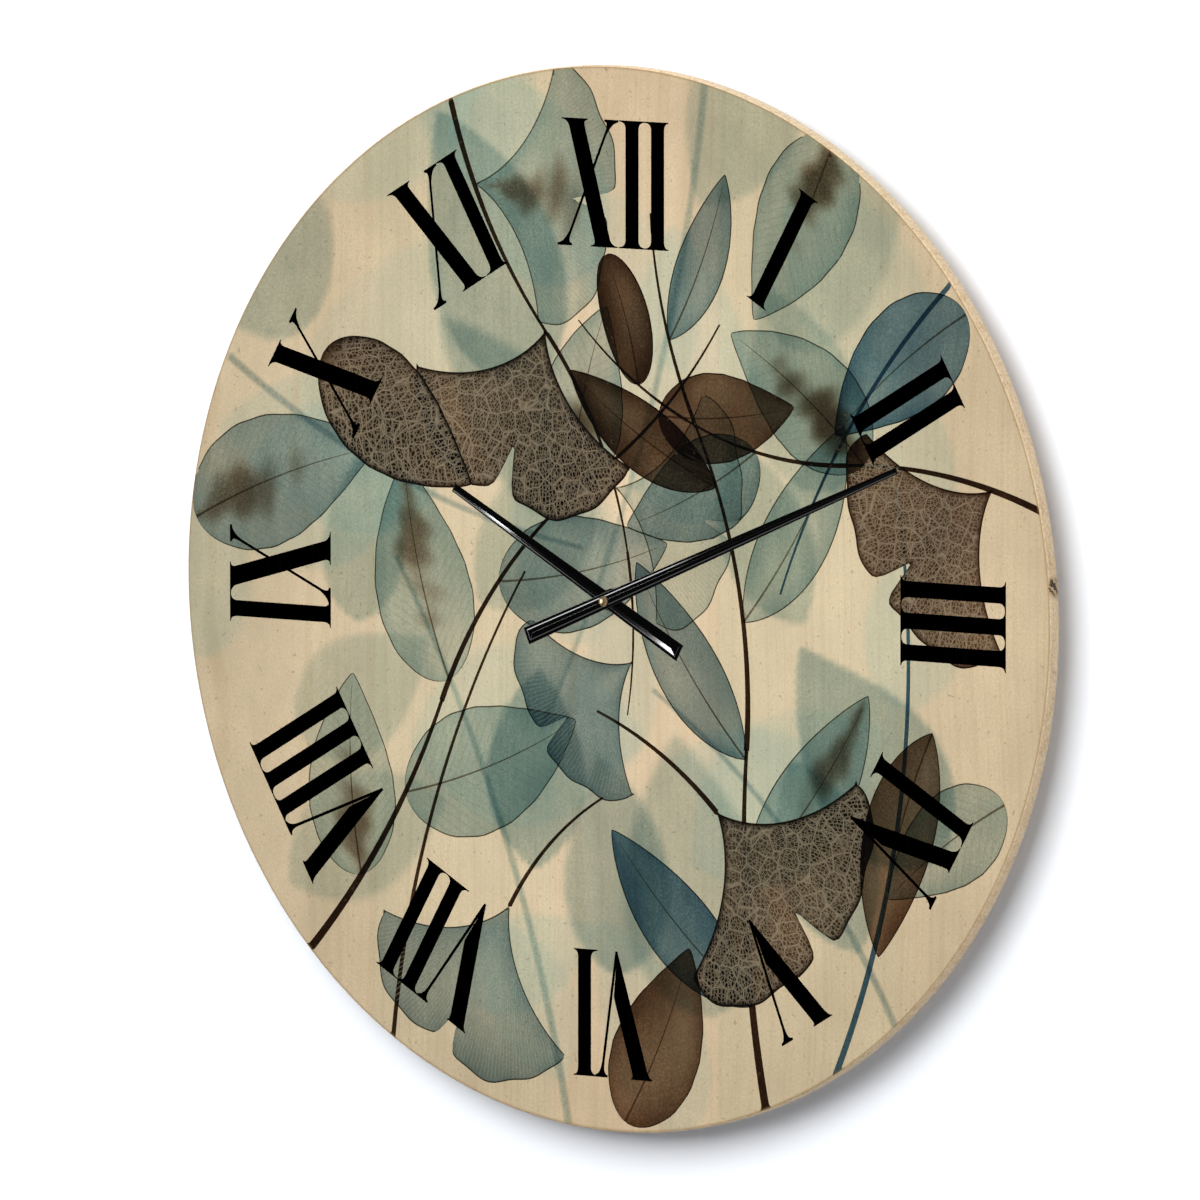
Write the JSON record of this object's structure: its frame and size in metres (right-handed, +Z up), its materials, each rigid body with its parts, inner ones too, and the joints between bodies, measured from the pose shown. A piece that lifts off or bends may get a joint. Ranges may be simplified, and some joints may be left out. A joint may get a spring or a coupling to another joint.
{
  "type": "round wooden wall clock",
  "caption": "Round wall clock: a thin disc of glued pine boards with a printed Roman dial, two black baton hands and a battery quartz movement that hangs it behind.",
  "frame": {"origin": "centre of the hook hole in the hanger behind the dial", "axes": "+Z up the wall, +Y through the hook hole towards the wall, +X to the viewer's right, so the dial faces -Y"},
  "size_m": [0.584, 0.036, 0.584],
  "materials": {
    "pine": "matte",
    "black_lacquer": "gloss",
    "brass": "polished",
    "arbor_brass": "satin",
    "blackened_brass": "satin",
    "gasket_rubber": "matte",
    "case_plastic": "satin",
    "plate_plastic": "satin",
    "knob_plastic": "satin",
    "hanger_steel": "satin",
    "gear_acetal": "satin",
    "ferrite": "matte",
    "motor_iron": "satin",
    "bobbin_plastic": "satin",
    "copper": "satin",
    "circuit_laminate": "satin",
    "epoxy": "gloss",
    "nickel": "satin",
    "battery_jacket": "satin"
  },
  "bodies": {
    "case": {"pine_board_1": "pine", "pine_board_2": "pine", "pine_board_3": "pine", "pine_board_4": "pine", "pine_board_5": "pine", "dial_washer": "blackened_brass", "dial_nut": "blackened_brass", "rubber_gasket": "gasket_rubber", "threaded_bushing": "arbor_brass", "movement_front_case": "case_plastic", "movement_rear_cover": "case_plastic", "middle_plate": "plate_plastic", "wall_hanger": "hanger_steel", "stator": "motor_iron", "coil_core": "motor_iron", "coil_bobbin": "bobbin_plastic", "coil_winding": "copper", "circuit_board": "circuit_laminate", "chip_cover": "epoxy", "quartz_crystal": "nickel", "battery": "battery_jacket", "contact_plus": "nickel", "contact_minus": "nickel"},
    "minute": {"minute_hand": "black_lacquer", "cap_nut": "brass", "minute_arbor": "arbor_brass", "centre_wheel": "gear_acetal"},
    "hour": {"hour_hand": "black_lacquer", "hour_wheel": "gear_acetal"},
    "reverser": {"reversing_wheel": "gear_acetal"},
    "knob": {"setting_knob": "knob_plastic"},
    "third": {"third_wheel": "gear_acetal"},
    "second": {"second_wheel": "gear_acetal"},
    "intermediate": {"intermediate_wheel": "gear_acetal"},
    "rotor": {"rotor_pinion": "gear_acetal", "rotor_magnet": "ferrite"}
  },
  "joints": [
    {"name": "minute_spin", "type": "hinge", "parent": "case", "child": "minute", "pos_m": [0, -0.0228, -0.034], "axis": [0, 1, 0], "continuous": true},
    {"name": "hour_spin", "type": "hinge", "parent": "case", "child": "hour", "pos_m": [0, -0.0228, -0.034], "axis": [0, 1, 0], "continuous": true},
    {"name": "reversing_spin", "type": "hinge", "parent": "case", "child": "reverser", "pos_m": [-0.009, -0.0108, -0.034], "axis": [0, 1, 0], "continuous": true},
    {"name": "knob_spin", "type": "hinge", "parent": "case", "child": "knob", "pos_m": [-0.01679, -0.0108, -0.0295], "axis": [0, 1, 0], "continuous": true},
    {"name": "third_spin", "type": "hinge", "parent": "case", "child": "third", "pos_m": [0.0045, -0.0108, -0.02621], "axis": [0, 1, 0], "continuous": true},
    {"name": "second_spin", "type": "hinge", "parent": "case", "child": "second", "pos_m": [0, -0.0108, -0.034], "axis": [0, 1, 0], "continuous": true},
    {"name": "intermediate_spin", "type": "hinge", "parent": "case", "child": "intermediate", "pos_m": [0.00822, -0.0038, -0.03699], "axis": [0, 1, 0], "continuous": true},
    {"name": "rotor_spin", "type": "hinge", "parent": "case", "child": "rotor", "pos_m": [0.01472, -0.0038, -0.03814], "axis": [0, 1, 0], "continuous": true}
  ],
  "couplings": [
    {"joint": "hour_spin", "follows": "minute_spin", "ratio": 0.083333},
    {"joint": "reversing_spin", "follows": "minute_spin", "ratio": -0.33333},
    {"joint": "knob_spin", "follows": "minute_spin", "ratio": 1},
    {"joint": "third_spin", "follows": "minute_spin", "ratio": -8},
    {"joint": "second_spin", "follows": "minute_spin", "ratio": 60},
    {"joint": "intermediate_spin", "follows": "minute_spin", "ratio": -360},
    {"joint": "rotor_spin", "follows": "minute_spin", "ratio": 1800}
  ]
}
